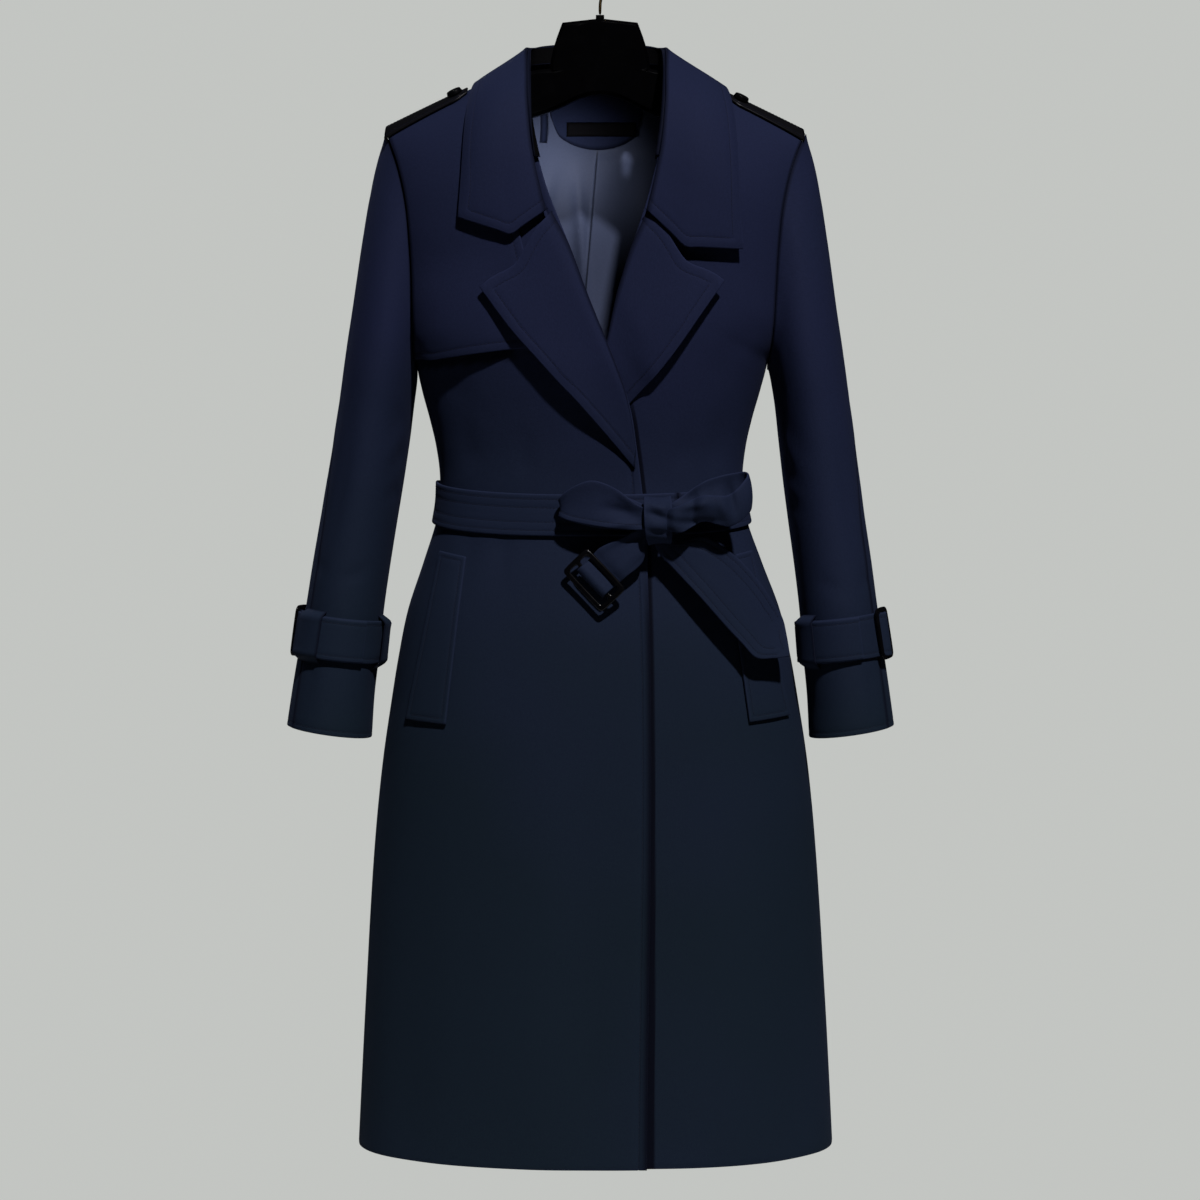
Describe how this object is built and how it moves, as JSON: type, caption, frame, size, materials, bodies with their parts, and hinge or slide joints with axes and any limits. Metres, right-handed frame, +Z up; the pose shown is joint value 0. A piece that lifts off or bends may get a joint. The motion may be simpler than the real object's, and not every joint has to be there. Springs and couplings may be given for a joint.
{
  "type": "trench coat on a coat hanger",
  "caption": "Belted knee-length trench coat, open at neck, hem, cuffs and armholes, hanging on a plain hanger with a hook.",
  "frame": {"origin": "inside the top of the hanger's hook, where it rests on a rod", "axes": "+Z up, the coat faces -Y, +X towards the left-hand side of the coat's wearer"},
  "size_m": [0.5828, 0.2325, 1.1612],
  "materials": {
    "coat_cloth": "navy twill, matt with a slight sheen",
    "epaulette_cloth": "black, glossy",
    "lining_cloth": "grey-blue satin",
    "label_cloth": "black woven ribbon, bare",
    "buckle_plastic": "black, glossy",
    "hanger_plastic": "black, satin",
    "hook_wire": "polished"
  },
  "bodies": {
    "root": {"front_right": "coat_cloth", "front_left": "coat_cloth", "back": "coat_cloth", "top_sleeve_right": "coat_cloth", "top_sleeve_left": "coat_cloth", "under_sleeve_right": "coat_cloth", "under_sleeve_left": "coat_cloth", "collar_stand": "coat_cloth", "collar_fall": "coat_cloth", "lapel_right": "coat_cloth", "lapel_left": "coat_cloth", "storm_flap": "coat_cloth", "epaulette_right": "coat_cloth", "epaulette_left": "coat_cloth", "epaulette_button_right": "buckle_plastic", "epaulette_button_left": "buckle_plastic", "pocket_welt_right": "coat_cloth", "pocket_welt_left": "coat_cloth", "cuff_strap_right": "coat_cloth", "cuff_strap_left": "coat_cloth", "cuff_strap_end_right": "coat_cloth", "cuff_strap_end_left": "coat_cloth", "cuff_keeper_right_front": "coat_cloth", "cuff_keeper_right_inner": "coat_cloth", "cuff_keeper_left_inner": "coat_cloth", "cuff_buckle_right": "buckle_plastic", "cuff_buckle_left": "buckle_plastic", "belt_band": "coat_cloth", "bow_loop_right": "coat_cloth", "bow_loop_left": "coat_cloth", "belt_knot": "coat_cloth", "belt_end_buckle": "coat_cloth", "belt_end_long": "coat_cloth", "belt_buckle": "buckle_plastic", "lining_back": "lining_cloth", "neck_facing": "coat_cloth", "neck_label": "label_cloth", "hanging_loop": "lining_cloth", "hanger_body": "hanger_plastic", "hanger_hook": "hook_wire"}
  },
  "joints": []
}
